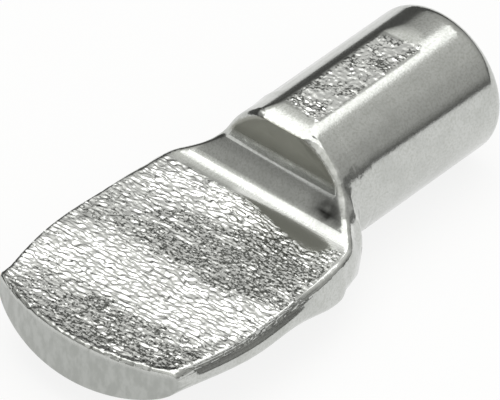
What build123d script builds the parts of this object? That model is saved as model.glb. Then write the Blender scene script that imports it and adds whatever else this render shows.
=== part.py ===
from build123d import *
from math import cos, radians, sin, sqrt, tan
import os

# Shelf support pin, forged in one piece from round steel wire: a pin that plugs into the cabinet
# side, and a spoon-shaped blade that the shelf rests on. Millimetres, +Z up. The pin points along
# +X and the shelf lies on the blade's flat top, level with the pin's axis. The parts are drawn from
# the step at X 0. The finished piece has its origin where the pin's plain round starts.

# Pin
pin_diameter = 5.0
pin_length = 7.4
pin_end_round = 0.5

# Blade, seen from above
blade_length = 9.5
blade_width = 8.3
front_radius = 8.2
front_lean_degrees = 4.0

# Blade, seen from the end
blade_thickness = 1.58
blade_widest_drop = 0.5

# Neck, where the pin swells into the blade
neck_width = 6.4
neck_widest_drop = 1.0
neck_run = 1.5
shoulder_degrees = 25.0

# Step and seat pressed by the upper die
step_fillet = 1.2

# Flat left by the die along the top of the pin
flat_width = 1.44
flat_start = 0.8
flat_length = 5.1
flat_runout = 0.5

# Rounded edges
seat_edge_round = 0.25
front_edge_round = 0.08

# Every cut reaches this far past the metal
overrun = 3.0

# Places along the neck, from the end of the swelling back to the step
neck_place_shares = (0.7, 0.4, 0.15)

# Sections from the step to past the front edge: place along the blade, half width from the neck's
# (0) to the blade's (1), width of the top against that half width, and level of the widest place
# and depth, each from the front's (0) to the neck's (1)
blade_section_shares = (
    (0.085, 0.455, 0.93, 1.00, 0.95),
    (0.170, 0.710, 0.96, 0.80, 0.78),
    (0.320, 0.905, 0.97, 0.50, 0.45),
    (0.500, 1.000, 0.97, 0.12, 0.18),
    (0.760, 0.780, 0.97, 0.00, 0.05),
    (0.950, 0.330, 0.97, 0.00, 0.00),
    (1.100, 0.100, 0.97, 0.00, 0.00),
    (1.250, 0.060, 0.97, 0.00, 0.00),
)

pin_radius = pin_diameter / 2


def pin_section(x):
    """The wire's own circle, parted where the other sections are."""
    side = shoulder_degrees
    arcs = (
        CenterArc((0, 0), pin_radius, side, 180 - 2 * side),
        CenterArc((0, 0), pin_radius, 180 - side, side),
        CenterArc((0, 0), pin_radius, 180, 180),
        CenterArc((0, 0), pin_radius, 0, side),
    )
    return Plane.YZ.offset(x) * make_face(arcs)


def forged_section(x, half_width, top_half_width, widest_drop, depth):
    """Round top, sides that swell out below it, and a bellied underside."""
    side = radians(shoulder_degrees)
    shoulder_y = top_half_width * cos(side)
    shoulder_z = pin_radius * sin(side)
    fall_y = top_half_width * sin(side)
    fall_z = pin_radius * cos(side)
    top = EllipticalCenterArc(
        (0, 0), top_half_width, pin_radius,
        start_angle=shoulder_degrees, arc_size=180 - 2 * shoulder_degrees,
    )
    left = Spline(
        (-shoulder_y, shoulder_z), (-half_width, -widest_drop),
        tangents=((-fall_y, -fall_z), (0, -1)),
    )
    belly = EllipticalCenterArc(
        (0, -widest_drop), half_width, depth - widest_drop, start_angle=180, arc_size=180
    )
    right = Spline(
        (half_width, -widest_drop), (shoulder_y, shoulder_z),
        tangents=((0, 1), (-fall_y, fall_z)),
    )
    return Plane.YZ.offset(x) * make_face((top, left, belly, right))


def neck_section(place_share):
    """Between the step, at 0, and the end of the swelling, at 1, which runs out in a parabola."""
    swell = (1 - place_share) ** 2
    half_width = pin_radius + swell * (neck_width / 2 - pin_radius)
    return forged_section(
        neck_run * place_share, half_width, pin_radius, swell * neck_widest_drop, pin_radius
    )


def blade_section(place_share, width_share, top_share, level_share, depth_share):
    half_width = (neck_width + width_share * (blade_width - neck_width)) / 2
    widest_drop = blade_widest_drop + level_share * (neck_widest_drop - blade_widest_drop)
    depth = blade_thickness + depth_share * (pin_radius - blade_thickness)
    return forged_section(
        -place_share * blade_length, half_width, top_share * half_width, widest_drop, depth
    )


def forged_blank():
    """The pin, and the blade before the upper die has pressed it and the front is sheared."""
    sections = [pin_section(neck_run)]
    sections += [neck_section(share) for share in neck_place_shares]
    sections += [neck_section(0)]
    sections += [blade_section(*shares) for shares in blade_section_shares]
    outline = Polyline(
        (neck_run, 0), (neck_run, pin_radius), (pin_length, pin_radius), (pin_length, 0), close=True
    )
    pin = revolve(Plane.XZ * make_face(outline), Axis.X)
    pin = fillet(pin.edges().group_by(Axis.X)[-1], pin_end_round)
    return loft(sections) + pin


def upper_die():
    """Flat over the blade, with a round foot and an upright face at the step."""
    back = -blade_length - overrun
    top = pin_radius + overrun
    profile = make_face((
        Line((back, 0), (-step_fillet, 0)),
        RadiusArc((-step_fillet, 0), (0, step_fillet), -step_fillet),
        Polyline((0, step_fillet), (0, top), (back, top), (back, 0)),
    ))
    return extrude(Plane.XZ * profile, blade_width / 2 + overrun, both=True)


def front_shear():
    """All that lies in front of the blade's round, slightly leaning front face."""
    centre = front_radius - blade_length
    height = 2 * (pin_radius + overrun)
    lean = tan(radians(front_lean_degrees)) * height / 2
    reach = front_radius + overrun
    block = Pos(centre - reach / 2, 0, 0) * Box(reach, blade_width + 2 * overrun, height)
    return block - Pos(centre, 0, 0) * Cone(front_radius + lean, front_radius - lean, height)


def pin_flat():
    """Shallow flat with a sloping run-out at each end."""
    floor = sqrt(pin_radius**2 - (flat_width / 2) ** 2)
    rise = pin_radius - floor
    end = flat_start + flat_length
    profile = make_face(Polyline(
        (flat_start, pin_radius),
        (flat_start + flat_runout, floor),
        (end - flat_runout, floor),
        (end, pin_radius),
        (end, pin_radius + rise),
        (flat_start, pin_radius + rise),
        close=True,
    ))
    return extrude(Plane.XZ * profile, pin_radius, both=True)


def shelf_pin():
    body = forged_blank() - upper_die()
    seat = body.faces().filter_by(Axis.Z)[0]
    wall = body.faces().filter_by(Axis.X).sort_by(Axis.X)[1]
    foot = body.faces().filter_by(GeomType.CYLINDER).sort_by(Axis.X)[0]
    rim = (seat.edges() + wall.edges() + foot.edges()).filter_by(GeomType.BSPLINE)
    body = fillet(rim, seat_edge_round) - front_shear()
    front = body.faces().filter_by(GeomType.CONE)[0]
    body = fillet(front.edges(), front_edge_round)
    return body - pin_flat()


os.makedirs("parts", exist_ok=True)
export_step(Pos(-neck_run, 0, 0) * shelf_pin(), "parts/shelf_pin.step")
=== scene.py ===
import math

import bmesh
import bpy
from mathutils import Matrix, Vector, kdtree, noise


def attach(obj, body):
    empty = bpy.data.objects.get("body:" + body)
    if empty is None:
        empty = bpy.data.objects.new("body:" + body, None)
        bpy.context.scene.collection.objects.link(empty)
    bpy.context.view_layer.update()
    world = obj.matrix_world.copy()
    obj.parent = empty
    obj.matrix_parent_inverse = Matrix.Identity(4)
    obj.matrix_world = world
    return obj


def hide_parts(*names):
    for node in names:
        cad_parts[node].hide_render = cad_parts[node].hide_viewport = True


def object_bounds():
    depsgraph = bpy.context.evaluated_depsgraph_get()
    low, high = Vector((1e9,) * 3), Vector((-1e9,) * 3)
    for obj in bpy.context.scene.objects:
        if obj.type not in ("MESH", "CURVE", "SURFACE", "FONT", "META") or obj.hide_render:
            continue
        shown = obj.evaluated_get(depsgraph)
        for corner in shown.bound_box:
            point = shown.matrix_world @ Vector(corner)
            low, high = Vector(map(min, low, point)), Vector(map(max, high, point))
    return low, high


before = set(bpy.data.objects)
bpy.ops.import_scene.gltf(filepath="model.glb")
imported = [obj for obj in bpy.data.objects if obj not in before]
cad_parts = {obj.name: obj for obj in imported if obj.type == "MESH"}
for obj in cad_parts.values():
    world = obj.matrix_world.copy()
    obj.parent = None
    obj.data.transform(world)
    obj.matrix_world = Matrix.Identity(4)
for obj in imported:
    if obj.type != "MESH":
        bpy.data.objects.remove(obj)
cadLow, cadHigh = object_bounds()
scene = bpy.context.scene
mm = 0.001
print("frame loaded")

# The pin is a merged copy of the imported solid, with the die's own marks worked into it.
# Its sizes are in mm. A layer of grain is (height, along, across, seed), and what fades is
# (start, run), with a run below 0 where it fades the other way.
forging = {
    "weld": 0.0002,          # corners closer than this become one
    "sharpAngle": 38,        # degrees, steeper edges stay crisp
    "marks": ("pressed", "grained", "paintedGlintBand", "sheared", "shadedWall", "paintedSheen", "paintedDarkReflection"),
    "rowWander": ((0.9, 0.5, 1.6, 3.7), (1.0, 0.17, 0.30, 8.3)),      # how the die's rows stray
}
seatZone, topZone, frontZone, neckZone, rimZone, footZone = 1, 2, 3, 4, 5, 6


def ease(t):
    t = max(0.0, min(1.0, t))
    return t * t * (3 - 2 * t)


def fade(value, start, run):
    return ease((value - start) / run)


def within(value, limits):
    return limits[0] < value < limits[1]


def hump(value, middle, run):
    away = (value - middle) / run
    return max(0.0, 1 - away * away) ** 2


def bell(value, middle, width):
    return math.exp(-((value - middle) / width) ** 2)


def bump(layer, x, y):
    height, along, across, seed = layer
    return height * noise.noise(Vector((x / along, y / across, seed)))


def facet(layer, x, y):
    height, along, across, seed = layer
    return height * noise.cell(Vector((x / along, y / across, seed)))


def edgeBump(layer, place):
    height, along, *seeds = layer
    return height * noise.noise(Vector((place / along, *seeds)))


def rows(spacing, share, x, y):
    # a slow rise and a quick fall along the blade, in wandering rows across it
    place = x / spacing
    for layer in forging["rowWander"]:
        place += bump(layer, x, y)
    part = place - math.floor(place)
    rise = part / share if part < share else (1 - part) / (1 - share)
    return spacing * share * (rise - 0.5)


def tagFaces(bm, zoneLayer, zone, test):
    faces = []
    for face in bm.faces:
        if face[zoneLayer] == 0 and test(face, face.calc_center_median() / mm):
            face[zoneLayer] = zone
            faces.append(face)
    return faces


def sliceFaces(bm, faces, *cuts, start=-1.0):
    for axis, spacing in cuts:
        spacing *= mm
        places = [v.co[axis] for face in faces for v in face.verts]
        first, last = math.ceil(max(min(places), start) / spacing), math.floor(max(places) / spacing)
        geom = list(faces)
        geom += list({e for f in faces for e in f.edges}) + list({v for f in faces for v in f.verts})
        normal = Vector((0, 0, 0))
        normal[axis] = 1
        for i in range(first, last + 1):
            place = normal * (spacing * i)
            cut = bmesh.ops.bisect_plane(bm, geom=geom, dist=1e-9, plane_co=place, plane_no=normal)
            geom = cut["geom"]
        faces = [g for g in geom if isinstance(g, bmesh.types.BMFace)]
    return faces


def rimDistance(bm, zone, zoneLayer):
    inner, rim = [], []
    for v in bm.verts:
        zones = {f[zoneLayer] for f in v.link_faces}
        if zone in zones:
            (inner if zones == {zone} else rim).append(v)
    tree = kdtree.KDTree(len(rim))
    for i, v in enumerate(rim):
        tree.insert(v.co, i)
    tree.balance()
    return [(v, tree.find(v.co)[2] / mm) for v in inner]


seatMarks = {
    "flatness": 0.004, "upright": 0.9999,                    # the face that carries the shelf
    "cuts": ((0, 0.036), (1, 0.055)),                        # its mesh: axis, spacing
    "scratch": (0.0025, 0.060, 0.40, 11.2),
    "sparkle": (0.0150, 0.085, 0.150, 23.1),
    "facet": (0.0040, 0.045, 0.110, 2.5),
    "fadeIn": 0.05, "rollFade": 0.7,                         # in from the rim
    # gentle rolls left by the press: x and slope
    "rolls": ((-9.4, -0.020), (-8.3, 0.045), (-7.2, 0.040),
              (-5.8, -0.025), (-4.4, -0.015), (-3.3, 0.045)),
    "rollFrom": -11.2, "rollLength": 9, "rollStep": 0.02,
    "rollWander": (0.35, 2.5, 1.6, 4.4), "rollSkew": 0.06,
    # bands: bright where a roll turns to the light, in streaks across the blade; they set the rows' height
    # and the share of painted glints
    "brightSlope": (-0.03, 0.07),
    "streaks": ((0.70, 0.26, 1.0, 1.9), (0.45, 0.10, 0.34, 6.6)),
    "stepBright": 0.8, "stepAlong": (-4.4, 0.8), "stepAcross": (-1.2, 1.5),
    "leftBright": 0.35, "leftAcross": (0.2, 2.8),
    "rightDull": 0.75, "rightAlong": (-4.9, 0.7), "rightAcross": (-0.2, -1.2),
    # the die's rows: spacing, slope in a dull and a bright band, rising share
    "row": 0.16, "rowRise": (0.08, 0.33), "rowShare": 0.76,
    "rowBreaks": (1.6, 0.20, 0.26, 5.1), "rowLeast": 0.1,
    "stepRise": 0.07, "stepRiseAlong": (-4.1, 0.8),
    # where the grain stops before the foot, further back on the right
    "footLine": -2.62, "footRun": 0.65, "footFade": -0.12,
    "footAcross": (0.9, -3.6), "footCorner": (-2.7, -0.6),
}


def isSeat(face, middle):
    level = all(abs(v.co.z / mm) < seatMarks["flatness"] for v in face.verts)
    return level and face.normal.z > seatMarks["upright"]


def seatSlope(x):
    rolls = seatMarks["rolls"]
    slope = rolls[0][1]
    for before, after in zip(rolls, rolls[1:]):
        slope += (after[1] - before[1]) * ease((x - before[0]) / (after[0] - before[0]))
    return slope


def seatRolls():
    # heights along the blade, added up from the slopes
    start, step = seatMarks["rollFrom"], seatMarks["rollStep"]
    heights, height = [], 0.0
    for i in range(int(seatMarks["rollLength"] / step)):
        heights.append(height)
        height += seatSlope(start + i * step) * step
    middle = sum(heights) / len(heights)
    return [height - middle for height in heights]


def seatBand(x, y, along):
    # 0 on a roll's dull side, 1 on its bright side
    start, run = seatMarks["brightSlope"]
    band = (seatSlope(along) - start) / run
    for layer in seatMarks["streaks"]:
        band += bump(layer, x, y)
    bright = fade(x, *seatMarks["stepAlong"]) * fade(y, *seatMarks["stepAcross"])
    band = ease(band) + seatMarks["stepBright"] * bright
    band = min(1.0, band + seatMarks["leftBright"] * fade(y, *seatMarks["leftAcross"]))
    dull = fade(x, *seatMarks["rightAlong"]) * fade(y, *seatMarks["rightAcross"])
    return band * (1 - seatMarks["rightDull"] * dull)


def grainEnd(y):
    back = fade(y, *seatMarks["footAcross"]) * (1 - fade(y, *seatMarks["footCorner"]))
    return seatMarks["footLine"] - seatMarks["footRun"] * back


def pressSeat(bm, zoneLayer, marks):
    rolls = seatRolls()
    dullRise, brightRise = seatMarks["rowRise"]
    for v, gap in rimDistance(bm, seatZone, zoneLayer):
        x, y = v.co.x / mm, v.co.y / mm
        along = x + (bump(seatMarks["rollWander"], x, y) + seatMarks["rollSkew"] * y)
        place = int((along - seatMarks["rollFrom"]) / seatMarks["rollStep"])
        roll = rolls[max(0, min(len(rolls) - 1, place))]
        band = seatBand(x, y, along)
        rough = ease(gap / seatMarks["fadeIn"]) * fade(x, grainEnd(y), seatMarks["footFade"])
        rise = dullRise + band * (brightRise - dullRise)
        rise *= max(seatMarks["rowLeast"], 1 + bump(seatMarks["rowBreaks"], x, y))
        rise += seatMarks["stepRise"] * fade(x, *seatMarks["stepRiseAlong"])
        lift = rise * rows(seatMarks["row"], seatMarks["rowShare"], x, y)
        lift += bump(seatMarks["scratch"], x, y)
        lift += bump(seatMarks["sparkle"], x, y) + facet(seatMarks["facet"], x, y)
        v.co.z += (rough * lift + ease(gap / seatMarks["rollFade"]) * roll) * mm
        v[marks["pressed"]] = rough
        v[marks["paintedGlintBand"]] = band


pinTop = {
    "zone": (-1.26, 5.35), "zoneLow": 1.9,
    "cuts": ((0, 0.05), (1, 0.05)),
    "radius": 2.5, "level": 2.394, "halfWidth": 0.72,        # the die's flat along the pin
    "rollFrom": -0.70, "rollRun": 0.80, "rollDrop": 0.21, "rollPower": 1.5,    # rolls down to the step
    "rollZone": (-1.55, 0), "rollSide": 1.5,
    "runOut": (3.9, 4.4), "blend": 0.05, "blendSide": (1.45, -0.35),
    "grain": (0.0190, 0.085, 0.080, 5.5),
    "speck": (0.0060, 0.19, 0.16, 8.1),
    "facet": (0.0050, 0.050, 0.050, 1.5),
    "row": 0.17, "rowRise": 0.12, "rowShare": 0.75,
    # the grain's ragged ends and sides, the ends a little askew
    "ragged": (0.05, 0.2, 0.2, 6.1), "fadeIn": 0.10, "endFade": 0.15,
    "grainFrom": -0.75, "fromSkew": 0.15, "grainTo": 3.95, "toSkew": 0.25,
    "band": 0.38, "bandWander": (0.7, 0.6, 0.45, 2.9),
}


def isPinTop(face, middle):
    low = min(v.co.z for v in face.verts) / mm
    return within(middle.x, pinTop["zone"]) and low > pinTop["zoneLow"]


def pinFlatLevel(x):
    start, end = pinTop["runOut"]
    near = max(0.0, (pinTop["rollFrom"] - x) / pinTop["rollRun"])
    far = max(0.0, (x - start) / (end - start))
    level = pinTop["level"] - pinTop["rollDrop"] * near ** pinTop["rollPower"]
    return level + far * (pinTop["radius"] - pinTop["level"])


def pinTopLevel(x, y):
    # the flat blends softly into the round of the pin
    roundTop, flat = math.sqrt(pinTop["radius"] ** 2 - y * y), pinFlatLevel(x)
    meet = max(0.0, pinTop["blend"] - abs(roundTop - flat))
    return min(roundTop, flat) - meet * meet / (4 * pinTop["blend"])


def grainPinTop(bm, zoneLayer, marks):
    for v in bm.verts:
        x, y, z = v.co / mm
        if any(f[zoneLayer] != topZone for f in v.link_faces):
            if within(x, pinTop["rollZone"]) and abs(y) < pinTop["rollSide"]:
                v.co.z = min(z, pinFlatLevel(x)) * mm
            continue
        ragged = bump(pinTop["ragged"], x, y)
        weight = ease((pinTop["halfWidth"] - abs(y) + ragged) / pinTop["fadeIn"])
        weight *= (ease((x - pinTop["grainFrom"] + ragged - pinTop["fromSkew"] * y) / pinTop["endFade"])
                   * ease((pinTop["grainTo"] - pinTop["toSkew"] * y + ragged - x) / pinTop["endFade"]))
        lift = 0.0
        if weight > 0:
            lift = bump(pinTop["grain"], x, y) + bump(pinTop["speck"], x, y) + facet(pinTop["facet"], x, y)
            lift += pinTop["rowRise"] * rows(pinTop["row"], pinTop["rowShare"], x, y)
        near = fade(abs(y), *pinTop["blendSide"])
        v.co.z = (z + near * (pinTopLevel(x, y) - z) + weight * lift) * mm
        v[marks["grained"]] = weight
        # share of painted glints on the pin's grain, in wandering bands
        v[marks["paintedGlintBand"]] = weight * ease(pinTop["band"] + bump(pinTop["bandWander"], x, y))


neckForm = {
    "zone": (-1.4, 0.1), "zoneLeft": 0.4, "zoneTop": 1.9, "zoneReach": 2.49, "zoneTurn": 0.9,
    "cuts": ((0, 0.08),),
    # a little fuller on its left, and down to the pin at once on its right
    "leftSwell": 0.15, "swellAt": (-2.2, 1.3), "swellSide": (1.5, 1.6),
    "drop": (-1.32, 0.60), "dropSide": (0, -0.8), "dropEnd": 0.1, "least": 0.001,
    # under the seat the flanks run into it in one line: trimmed at the neck, filled before it
    "flankFill": 0.10, "fillAt": (-2.85, 0.75), "flankTrim": 0.13, "trimAt": (-1.88, 0.75),
    "flankLow": (-0.5, -0.7), "flankSide": (1.2, 1.0), "flankOut": 0.77, "flankDown": 0.63,
}


def isNeck(face, middle):
    reach = max(math.hypot(v.co.y, v.co.z) for v in face.verts) / mm
    inside = within(middle.x, neckForm["zone"])
    inside = inside and middle.y < neckForm["zoneLeft"] and middle.z < neckForm["zoneTop"]
    return inside and reach > neckForm["zoneReach"] and abs(face.normal.x) < neckForm["zoneTurn"]


def swellNeck(bm):
    for v in bm.verts:
        x, y, z = v.co / mm
        swell = neckForm["leftSwell"] * hump(x, *neckForm["swellAt"])
        v.co.y += swell * fade(y, *neckForm["swellSide"]) * mm


def fairFlanks(bm):
    for v in bm.verts:
        x, y, z = v.co / mm
        move = neckForm["flankFill"] * hump(x, *neckForm["fillAt"])
        move -= neckForm["flankTrim"] * hump(x, *neckForm["trimAt"])
        move *= fade(z, *neckForm["flankLow"]) * fade(abs(y), *neckForm["flankSide"])
        v.co.y += math.copysign(neckForm["flankOut"], y) * move * mm
        v.co.z -= neckForm["flankDown"] * move * mm


def tightenNeck(bm):
    start, run = neckForm["drop"]
    for v in bm.verts:
        x, y, z = v.co / mm
        reach = math.hypot(y, z)
        over = reach - pinTop["radius"]
        if start < x < neckForm["dropEnd"] and y < 0 and over > neckForm["least"]:
            drop = fade(x, start, run) * fade(y, *neckForm["dropSide"])
            v.co.y *= 1 - over * drop / reach
            v.co.z *= 1 - over * drop / reach


sideRim = {
    "zoneTo": -2.6, "zoneSide": 2.5, "zoneLow": -0.5, "zoneUnder": -0.3,
    "cuts": ((2, 0.04),),
    "round": 0.25, "land": 0.39,               # the solid's own rounding, and the depth of the sloping land
    "along": (-3.3, -2.4), "front": 0.1, "frontRun": 0.3, "leastOut": 0.01,
    # the slope is set from the photo camera's direction, so that the land mirrors it about level;
    # flatter is in degrees
    "toCamera": (0.578, 0.518, 0.631), "flatter": 2.5,
}


def isRim(face, middle):
    high = max(v.co.z for v in face.verts) / mm
    beside = middle.x < sideRim["zoneTo"] and abs(middle.y) > sideRim["zoneSide"]
    return beside and high > sideRim["zoneLow"] and middle.z < 0 and face.normal.z > sideRim["zoneUnder"]


def slopeRim(bm, zoneLayer):
    # trades the even rounding along the sides for a tight edge and a land at about 62 degrees
    forward, sideways, upward = sideRim["toCamera"]
    moves = []
    for v in bm.verts:
        x, y, z = v.co / mm
        if z < -sideRim["land"] or not any(f[zoneLayer] == rimZone for f in v.link_faces):
            continue
        out = Vector((v.normal.x, v.normal.y, 0))
        if out.length < sideRim["leastOut"]:
            continue
        out.normalize()
        facing = abs(out.y) * sideways - out.x * forward
        steep = 0.5 * (math.pi - math.atan2(upward, facing)) - math.radians(sideRim["flatter"])
        above = max(0.0, sideRim["round"] + z)
        was = sideRim["round"] - math.sqrt(max(0.0, sideRim["round"] ** 2 - above ** 2))
        now = (z + sideRim["land"]) / math.tan(steep)
        reach = math.hypot(x - frontRim["centre"], y)
        amount = fade(x, *sideRim["along"])
        amount *= ease((frontRim["radius"] - sideRim["front"] - reach) / sideRim["frontRun"])
        moves.append((v, out * (was - now) * amount * mm))
    for v, move in moves:
        v.co += move


frontRim = {
    "centre": -2.8, "radius": 8.2,             # the round that the front was sheared to
    "zoneTo": -9.0, "zoneDeep": 0.085, "zoneUnder": -0.3,
    "cuts": ((1, 0.055), (2, 0.04)),
    "bead": 0.045, "beadWidth": 0.11,          # burr rolled up along the sheared edge
    "beadIn": 0.11, "beadWander": 0.05,
    "ragged": 0.030, "raggedOut": 0.5,         # how far the burr wanders
    # a layer along the edge is (height, along, and two seeds); the pits are the few nicks
    "raggedLayers": ((1.0, 0.33, 2.1, 7.7), (0.6, 0.12, 5.2, 1.3)),
    "pitLayer": (1.0, 0.26, 9.4, 3.3), "pits": (0.28, 0.2),
    "pit": 0.05, "pitWidth": 0.13,
    "reachIn": 0.6, "reachDown": -0.5, "edgeHeight": 0.15, "edgeWidth": 0.08,
    "corner": (4.0, -0.5),
}


def isFront(face, middle):
    # the sheared face and its top edge, whose reach from the shear's centre gives them away
    reach = math.hypot(middle.x - frontRim["centre"], middle.y)
    ahead = middle.x < frontRim["zoneTo"] and reach > frontRim["radius"] - frontRim["zoneDeep"]
    return ahead and face.normal.z > frontRim["zoneUnder"]


def rollFrontRim(bm):
    # a thin burr along the sheared edge, with a few nicks, worked into both faces that meet there
    for v in bm.verts:
        x, y, z = v.co / mm
        reach = math.hypot(x - frontRim["centre"], y)
        inward = frontRim["radius"] - reach
        if x > frontRim["zoneTo"] or inward > frontRim["reachIn"] or z < frontRim["reachDown"]:
            continue
        wander = sum(edgeBump(layer, y) for layer in frontRim["raggedLayers"])
        near = bell(z, 0, frontRim["edgeHeight"])
        beadAt = frontRim["beadIn"] + frontRim["beadWander"] * wander
        bead = near * bell(inward, beadAt, frontRim["beadWidth"])
        nick = near * fade(edgeBump(frontRim["pitLayer"], y), *frontRim["pits"])
        pit = nick * bell(inward, 0, frontRim["pitWidth"]) * frontRim["pit"]
        corner = fade(abs(y), *frontRim["corner"])
        v.co.z += (bead * (frontRim["bead"] + frontRim["ragged"] * wander) - pit) * corner * mm
        out = near * frontRim["ragged"] * frontRim["raggedOut"] * wander - pit
        out *= bell(inward, 0, frontRim["edgeWidth"])
        v.co.x += out * corner * (x - frontRim["centre"]) / reach * mm
        v.co.y += out * corner * y / reach * mm


stepFace = {
    "x": -1.5, "foot": 1.2, "cuts": ((1, 0.1),),             # the upright face, its foot's radius
    "footTurn": -0.01, "footSide": 0.02,
}


def isFoot(face, middle):
    along = stepFace["x"] - stepFace["foot"] < middle.x < stepFace["x"]
    hollow = face.normal.x < stepFace["footTurn"] and abs(face.normal.y) < stepFace["footSide"]
    return along and hollow and 0 < middle.z < stepFace["foot"]


finish = {
    # the front darkens below its burr: its cut finish, with painted shade added
    "shear": (-0.05, -0.15),                                 # the front dulls below its burr
    # the grain and its painted glints spill over the rim
    "spill": 0.4, "spillDown": (-0.06, 0.05), "spillBand": 0.8,
    "spillTo": -2.6, "spillLow": -0.2, "spillSide": 2.9,
    # the step's wall, made darker and a little warm as painted shade
    "wall": (-1.62, -1.47), "wallLow": 0.9, "wallUp": (0.95, 0.25),
    # painted highlight in flecks along the right edge of the step, and an even painted sheen before the
    # foot
    "sheen": 0.1, "sheenWander": 0.9, "sheenSize": 0.2,
    "sheenEnd": -1.25, "sheenHeights": (-0.1, 2.2), "sheenSide": -1.2, "sheenTurn": -0.25,
    "strip": 0.8, "stripZone": (-3.6, -2.3), "stripHeights": (-0.05, 0.1), "stripSide": 1.2,
    "stripAlong": (-2.55, 0.2), "stripAcross": (1.2, -0.5),
    # painted dark reflection in the foot's right corner: across in mm, round the foot in degrees
    "darkReflection": 1.1, "darkReflectionWander": (0.9, 0.25, 9, 2.2),
    "darkReflectionAcross": (-2.10, 0.50), "darkReflectionTurn": (46, 17),
    "darkReflectionZone": (-2.7, -1.45), "darkReflectionHeights": (0, 1.3),
}


def markFinish(bm, zoneLayer, marks):
    footStart = stepFace["x"] - stepFace["foot"]
    size = finish["sheenSize"]
    for v in bm.verts:
        x, y, z = v.co / mm
        # the sheared front, darker: its cut finish with painted shade
        if any(f[zoneLayer] == frontZone for f in v.link_faces):
            v[marks["sheared"]] = fade(z, *finish["shear"])
        elif (x < finish["spillTo"] and v[marks["pressed"]] == 0
                and z > finish["spillLow"] and abs(y) > finish["spillSide"]):
            v[marks["pressed"]] = finish["spill"] * fade(z, *finish["spillDown"])
            v[marks["paintedGlintBand"]] = finish["spillBand"]
        # painted shade on the upper part of the step's wall
        if within(x, finish["wall"]) and z > finish["wallLow"]:
            v[marks["shadedWall"]] = fade(z, *finish["wallUp"])
        # painted highlight in flecks along the step's right edge
        if (footStart < x < finish["sheenEnd"] and within(z, finish["sheenHeights"])
                and y < finish["sheenSide"] and v.normal.y < finish["sheenTurn"]):
            fleck = noise.noise(Vector((x / size, y / size, z / size)))
            v[marks["paintedSheen"]] = max(0.0, finish["sheen"] + finish["sheenWander"] * fleck)
        # painted sheen on the smooth strip before the foot
        if (within(x, finish["stripZone"]) and within(z, finish["stripHeights"])
                and y < finish["stripSide"]):
            strip = finish["strip"] * (1 - v[marks["pressed"]]) * (1 - fade(x, *finish["stripAlong"]))
            v[marks["paintedSheen"]] = strip * fade(y, *finish["stripAcross"])
        turn = math.degrees(math.atan2(x - footStart, stepFace["foot"] - z))
        # painted dark reflection in the foot's right corner
        if within(x, finish["darkReflectionZone"]) and within(z, finish["darkReflectionHeights"]):
            dark = finish["darkReflection"] + bump(finish["darkReflectionWander"], y, turn)
            dark *= bell(y, *finish["darkReflectionAcross"]) * bell(turn, *finish["darkReflectionTurn"])
            v[marks["paintedDarkReflection"]] = dark


def makePin():
    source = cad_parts["shelf_pin"]
    bm = bmesh.new()
    bm.from_mesh(source.data)
    bmesh.ops.remove_doubles(bm, verts=bm.verts, dist=forging["weld"] * mm)
    bm.normal_update()
    zoneLayer = bm.faces.layers.int.new("zone")
    marks = {name: bm.verts.layers.float.new(name) for name in forging["marks"]}
    seat = tagFaces(bm, zoneLayer, seatZone, isSeat)
    top = tagFaces(bm, zoneLayer, topZone, isPinTop)
    front = tagFaces(bm, zoneLayer, frontZone, isFront)
    neck = tagFaces(bm, zoneLayer, neckZone, isNeck)
    rim = tagFaces(bm, zoneLayer, rimZone, isRim)
    foot = tagFaces(bm, zoneLayer, footZone, isFoot)
    print("faces: seat", len(seat), "pin top", len(top), "front", len(front))

    sliceFaces(bm, seat, *seatMarks["cuts"])
    sliceFaces(bm, front, *frontRim["cuts"])
    sliceFaces(bm, top, *pinTop["cuts"])
    neck = sliceFaces(bm, neck, *neckForm["cuts"])
    rim = sliceFaces(bm, rim, *sideRim["cuts"], start=sideRim["zoneLow"] * mm)
    foot = sliceFaces(bm, foot, *stepFace["cuts"])
    for face in neck + foot:
        face[zoneLayer] = 0
    bm.normal_update()
    print("after slicing", len(bm.faces), "faces")

    slopeRim(bm, zoneLayer)
    for face in rim:
        face[zoneLayer] = 0
    pressSeat(bm, zoneLayer, marks)
    grainPinTop(bm, zoneLayer, marks)
    rollFrontRim(bm)
    swellNeck(bm)
    fairFlanks(bm)
    tightenNeck(bm)
    markFinish(bm, zoneLayer, marks)
    print("die marks pressed in")

    bmesh.ops.triangulate(bm, faces=[f for f in bm.faces if len(f.verts) > 4])
    bm.normal_update()
    for face in bm.faces:
        face.smooth = True
    limit = math.radians(forging["sharpAngle"])
    for edge in bm.edges:
        if len(edge.link_faces) == 2:
            zones = {f[zoneLayer] for f in edge.link_faces}
            edge.smooth = zones != {0} or edge.calc_face_angle(0) < limit
    bm.faces.layers.int.remove(zoneLayer)
    mesh = bpy.data.meshes.new("shelfPin")
    bm.to_mesh(mesh)
    bm.free()
    piece = bpy.data.objects.new("shelfPin", mesh)
    scene.collection.objects.link(piece)
    weighted = piece.modifiers.new("weightedNormals", "WEIGHTED_NORMAL")
    weighted.keep_sharp = True
    weighted.weight = 50
    print("pin mesh", len(mesh.polygons), "faces")
    return piece


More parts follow.
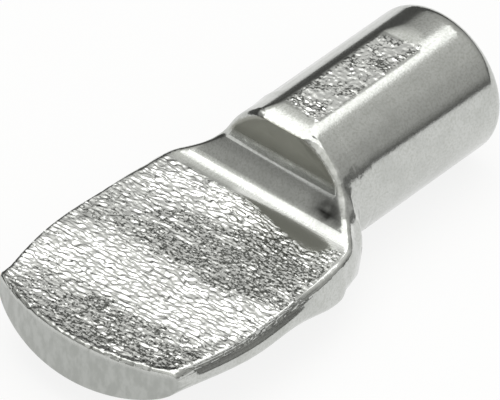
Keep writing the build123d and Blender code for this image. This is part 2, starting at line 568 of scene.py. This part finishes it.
# bright zinc on steel; sizes and heights in mm, and a noise is (along, across, detail)
zinc = {
    "colour": (0.57, 0.58, 0.56, 1), "dull": (0.47, 0.48, 0.46, 1), "speckle": (0.44, 0.45, 0.42, 1),
    # cut and cutDark: the sheared front's own streaks, darkened further as painted shade
    "cut": (0.44, 0.45, 0.43, 1), "cutDark": (0.375, 0.385, 0.365, 1),
    # corner: painted shade on the step's wall, a little warm
    # the near-black colour here is a painted dark reflection for the foot's corner
    "corner": (0.31, 0.31, 0.275, 1), "darkReflection": (0.03, 0.03, 0.028, 1),
    # the next two are painted light: a painted highlight for the glints and sheen, and painted dark flecks
    # among the glints
    "paintedHighlight": (0.90, 0.91, 0.89, 1), "pit": (0.15, 0.155, 0.145, 1),
    "smoothRoughness": 0.13, "patchRoughness": 0.02, "cutRoughness": 0.16, "wallRoughness": 0.17,
    "patchNoise": (0.9, 0.9, 3), "peelNoise": (0.25, 0.25, 2), "grainNoise": (0.055, 0.055, 1),
    "glintNoise": (0.070, 0.135, 1), "shearNoise": (0.45, 0.24, 2), "dragNoise": (1.3, 0.11, 2),
    "speckleNoise": (0.08, 0.08, 3), "noiseRoughness": 0.55,
    "dullPatches": (0.42, 0.70, 0.0, 0.5), "speckles": (0.40, 0.70, 0.0, 0.7),      # from, to, share
    "shearStreaks": (0.35, 0.65, 0.0, 1.0), "roughPatches": (0.3, 0.75),
    "glintShare": 0.6, "grainShare": 0.4, "crestBlend": 0.06,
    # where the painted glints start, in a dull and a bright band
    "dullBand": 0.50, "brightBand": 0.27,                     # where the crests start
    "dragHeight": 0.0007, "peelHeight": 0.0010, "grainHeight": 0.0030,
    "smoothGrain": 0.30,                                      # share of the grain off the pressed faces
}


def addNode(tree, kind, **settings):
    node = tree.nodes.new(kind)
    for name, value in settings.items():
        setattr(node, name, value)
    return node


def addNoise(tree, coords, along, across, detail):
    mapping = addNode(tree, "ShaderNodeMapping", vector_type="POINT")
    mapping.inputs["Scale"].default_value = (1 / (along * mm), 1 / (across * mm), 1 / (along * mm))
    tree.links.new(coords, mapping.inputs["Vector"])
    texture = addNode(tree, "ShaderNodeTexNoise", noise_dimensions="3D")
    texture.inputs["Scale"].default_value = 1.0
    texture.inputs["Detail"].default_value = detail
    texture.inputs["Roughness"].default_value = zinc["noiseRoughness"]
    tree.links.new(mapping.outputs["Vector"], texture.inputs["Vector"])
    return texture.outputs["Fac"]


def addMath(tree, operation, first, second, clamp=False):
    node = addNode(tree, "ShaderNodeMath", operation=operation, use_clamp=clamp)
    for socket, value in zip(node.inputs, (first, second)):
        if isinstance(value, (int, float)):
            socket.default_value = value
        else:
            tree.links.new(value, socket)
    return node.outputs[0]


def addShare(tree, base, value, share):
    return addMath(tree, "ADD", base, addMath(tree, "MULTIPLY", value, share))


def addRange(tree, value, low, high, toLow, toHigh):
    node = addNode(tree, "ShaderNodeMapRange", interpolation_type="SMOOTHSTEP")
    levels = (("From Min", low), ("From Max", high), ("To Min", toLow), ("To Max", toHigh))
    for name, level in levels:
        node.inputs[name].default_value = level
    tree.links.new(value, node.inputs["Value"])
    return node.outputs["Result"]


def addColourMix(tree, share, first, second):
    node = addNode(tree, "ShaderNodeMix", data_type="RGBA")
    tree.links.new(share, node.inputs["Factor"])
    for socket, value in ((node.inputs[6], first), (node.inputs[7], second)):
        if isinstance(value, tuple):
            socket.default_value = value
        else:
            tree.links.new(value, socket)
    return node.outputs[2]


def zincMaterial():
    material = bpy.data.materials.new("brightZinc")
    material.use_nodes = True
    tree = material.node_tree
    shader = tree.nodes["Principled BSDF"]
    shader.inputs["Metallic"].default_value = 1.0
    coords = addNode(tree, "ShaderNodeTexCoord").outputs["Object"]
    marks = {}
    for name in forging["marks"]:
        marks[name] = addNode(tree, "ShaderNodeAttribute", attribute_name=name).outputs["Fac"]
    worked = addMath(tree, "MAXIMUM", marks["pressed"], marks["grained"])

    patches = addNoise(tree, coords, *zinc["patchNoise"])
    peel = addNoise(tree, coords, *zinc["peelNoise"])
    grain = addNoise(tree, coords, *zinc["grainNoise"])
    glint = addNoise(tree, coords, *zinc["glintNoise"])
    shear = addNoise(tree, coords, *zinc["shearNoise"])
    drag = addNoise(tree, coords, *zinc["dragNoise"])
    speckle = addNoise(tree, coords, *zinc["speckleNoise"])

    # colour: bright, a little duller in soft patches, and darker on the sheared front, partly its cut
    # finish and partly painted shade
    dull = addRange(tree, patches, *zinc["dullPatches"])
    colour = addColourMix(tree, dull, zinc["colour"], zinc["dull"])
    colour = addColourMix(tree, addRange(tree, speckle, *zinc["speckles"]), colour, zinc["speckle"])
    streaks = addRange(tree, shear, *zinc["shearStreaks"])
    colour = addColourMix(tree, marks["sheared"], colour,
                          addColourMix(tree, streaks, zinc["cut"], zinc["cutDark"]))
    # painted shade on the step's wall
    colour = addColourMix(tree, marks["shadedWall"], colour, zinc["corner"])
    # painted highlight: flecks on the step's edge and a sheen before the foot
    colour = addColourMix(tree, marks["paintedSheen"], colour, zinc["paintedHighlight"])
    # painted dark reflection in the foot's right corner
    colour = addColourMix(tree, marks["paintedDarkReflection"], colour, zinc["darkReflection"])
    # where the die pressed, painted glints on painted dark flecks, with more glints where the face rolls to
    # the light
    start = addRange(tree, marks["paintedGlintBand"], 0.0, 1.0, zinc["dullBand"], zinc["brightBand"])
    paintedGlints = addMath(tree, "MULTIPLY", glint, zinc["glintShare"])
    paintedGlints = addMath(tree, "SUBTRACT", addShare(tree, paintedGlints, grain, zinc["grainShare"]), start)
    paintedGlints = addRange(tree, paintedGlints, -zinc["crestBlend"], zinc["crestBlend"], 0.0, 1.0)
    colour = addColourMix(tree, worked, colour, addColourMix(tree, paintedGlints, zinc["pit"], zinc["paintedHighlight"]))
    tree.links.new(colour, shader.inputs["Base Color"])

    smooth = zinc["smoothRoughness"]
    rough = addRange(tree, patches, *zinc["roughPatches"], smooth, smooth + zinc["patchRoughness"])
    rough = addShare(tree, rough, marks["sheared"], zinc["cutRoughness"])
    rough = addShare(tree, rough, marks["shadedWall"], zinc["wallRoughness"])
    tree.links.new(rough, shader.inputs["Roughness"])

    # relief: a soft peel all over, sharp grain where the die pressed
    amount = addShare(tree, zinc["smoothGrain"], worked, 1 - zinc["smoothGrain"])
    relief = addMath(tree, "MULTIPLY", addMath(tree, "MULTIPLY", grain, amount), zinc["grainHeight"] * mm)
    relief = addShare(tree, relief, peel, zinc["peelHeight"] * mm)
    relief = addShare(tree, relief, drag, zinc["dragHeight"] * mm)
    normal = addNode(tree, "ShaderNodeBump")
    normal.inputs["Strength"].default_value = 1.0
    normal.inputs["Distance"].default_value = 1.0
    tree.links.new(relief, normal.inputs["Height"])
    tree.links.new(normal.outputs["Normal"], shader.inputs["Normal"])
    print("zinc made")
    return material


# floor and light, in metres
studio = {
    "floorColour": (0.93, 0.93, 0.92, 1), "floorSize": 0.35, "floorSides": 96, "floorRoughness": 0.8,
    "floorWhite": 0.82,                        # share of plain white that the eye and the metal see
    # height and level, a little warm
    "sky": ((0.0, 0.10), (0.05, 0.12), (0.12, 0.30), (0.22, 0.47),
            (0.45, 0.53), (0.62, 0.66), (1.0, 0.70)),
    "skyLevel": 1.0, "skyBlue": 0.97,
    # bounced off the ceiling, and off the wall behind the camera
    "glows": (
        {"toward": (0.15, 0.50, 0.85), "from": 0.87, "to": 0.97, "level": 0.5},
        {"toward": (-0.55, -0.55, 0.63), "from": 0.60, "to": 0.90, "level": 0.7},
    ),
    # the room is higher and dimmer on the left, lower behind
    "leftLift": 0.5, "behindFall": -0.5, "leftDim": -0.3, "leftEdge": 2.5,
    "softbox": {"middle": (0.042, 0.021, 0.25), "wide": 0.30, "deep": 0.243, "turn": -35, "level": 1.22},
}


def makeFloor():
    bm = bmesh.new()
    bmesh.ops.create_circle(
        bm, cap_ends=True, segments=studio["floorSides"], radius=studio["floorSize"])
    bmesh.ops.translate(bm, verts=bm.verts, vec=Vector((0, 0, cadLow.z)))
    mesh = bpy.data.meshes.new("floor")
    bm.to_mesh(mesh)
    bm.free()
    floor = bpy.data.objects.new("floor", mesh)
    scene.collection.objects.link(floor)
    material = bpy.data.materials.new("paleFloor")
    material.use_nodes = True
    tree = material.node_tree
    shader = tree.nodes["Principled BSDF"]
    shader.inputs["Base Color"].default_value = studio["floorColour"]
    shader.inputs["Roughness"].default_value = studio["floorRoughness"]
    white = addNode(tree, "ShaderNodeEmission")
    rays = addNode(tree, "ShaderNodeLightPath").outputs
    seen = addMath(tree, "MAXIMUM", rays["Is Camera Ray"], rays["Is Glossy Ray"])
    seen = addMath(tree, "MAXIMUM", seen, rays["Is Transmission Ray"])
    mix = addNode(tree, "ShaderNodeMixShader")
    tree.links.new(addMath(tree, "MULTIPLY", seen, studio["floorWhite"]), mix.inputs[0])
    tree.links.new(shader.outputs[0], mix.inputs[1])
    tree.links.new(white.outputs[0], mix.inputs[2])
    tree.links.new(mix.outputs[0], tree.nodes["Material Output"].inputs["Surface"])
    mesh.materials.append(material)


def makeSky():
    world = bpy.data.worlds.new("studio")
    scene.world = world
    world.use_nodes = True
    tree = world.node_tree
    where = addNode(tree, "ShaderNodeTexCoord").outputs["Generated"]
    split = addNode(tree, "ShaderNodeSeparateXYZ")
    tree.links.new(where, split.inputs[0])
    ramp = addNode(tree, "ShaderNodeValToRGB")
    stops = ramp.color_ramp.elements
    while len(stops) < len(studio["sky"]):
        stops.new(0.5)
    for stop, (place, level) in zip(stops, studio["sky"]):
        stop.position = place
        stop.color = (level, level, level * studio["skyBlue"], 1)
    left = addMath(tree, "MULTIPLY", split.outputs["X"], -1, clamp=True)
    behind = addMath(tree, "MULTIPLY", split.outputs["Y"], 1, clamp=True)
    height = addShare(tree, split.outputs["Z"], left, studio["leftLift"])
    height = addShare(tree, height, behind, studio["behindFall"])
    tree.links.new(height, ramp.inputs[0])
    wall = addMath(tree, "MULTIPLY", left, studio["leftEdge"], clamp=True)
    level = addShare(tree, studio["skyLevel"], wall, studio["leftDim"])
    for glow in studio["glows"]:
        near = addNode(tree, "ShaderNodeVectorMath", operation="DOT_PRODUCT")
        tree.links.new(where, near.inputs[0])
        near.inputs[1].default_value = glow["toward"]
        lit = addRange(tree, near.outputs["Value"], glow["from"], glow["to"], 0.0, glow["level"])
        level = addMath(tree, "ADD", level, lit)
    tree.links.new(level, tree.nodes["Background"].inputs["Strength"])
    tree.links.new(ramp.outputs[0], tree.nodes["Background"].inputs["Color"])


def makeSoftbox(middle, wide, deep, turn, level):
    lamp = bpy.data.lights.new("softbox", "AREA")
    lamp.shape = "RECTANGLE"
    lamp.size, lamp.size_y = wide, deep
    lamp.energy = level * math.pi * wide * deep
    box = bpy.data.objects.new("softbox", lamp)
    box.location = middle
    box.rotation_euler.z = math.radians(turn)
    scene.collection.objects.link(box)


photoView = {
    "target": (-2.3555, 0.5504, -0.3319),     # mm, the middle of the picture
    "azimuth": -48.14, "elevation": 39.12,    # degrees
    "distance": 300.0, "pixelsPerMm": 33.30,  # mm
    "pictureWidth": 500, "sensor": 36.0,
    "nearest": 0.01, "furthest": 5.0,         # metres
}


def makeCamera():
    a, e = math.radians(photoView["azimuth"]), math.radians(photoView["elevation"])
    back = Vector((math.sin(a) * math.cos(e), -math.cos(a) * math.cos(e), math.sin(e)))
    data = bpy.data.cameras.new("photoCamera")
    data.sensor_width = photoView["sensor"]
    pixels = photoView["pixelsPerMm"] * photoView["distance"]
    data.lens = pixels * photoView["sensor"] / photoView["pictureWidth"]
    data.clip_start, data.clip_end = photoView["nearest"], photoView["furthest"]
    camera = bpy.data.objects.new("photoCamera", data)
    camera.location = (Vector(photoView["target"]) + back * photoView["distance"]) * mm
    camera.rotation_mode = "QUATERNION"
    camera.rotation_quaternion = (-back).to_track_quat("-Z", "Y")
    scene.collection.objects.link(camera)
    scene.camera = camera


pin = makePin()
pin.data.materials.append(zincMaterial())
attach(pin, "root")
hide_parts("shelf_pin")

makeFloor()
makeSky()
makeSoftbox(**studio["softbox"])
makeCamera()
scene.view_settings.view_transform = "Standard"
print("floor, light and camera set")
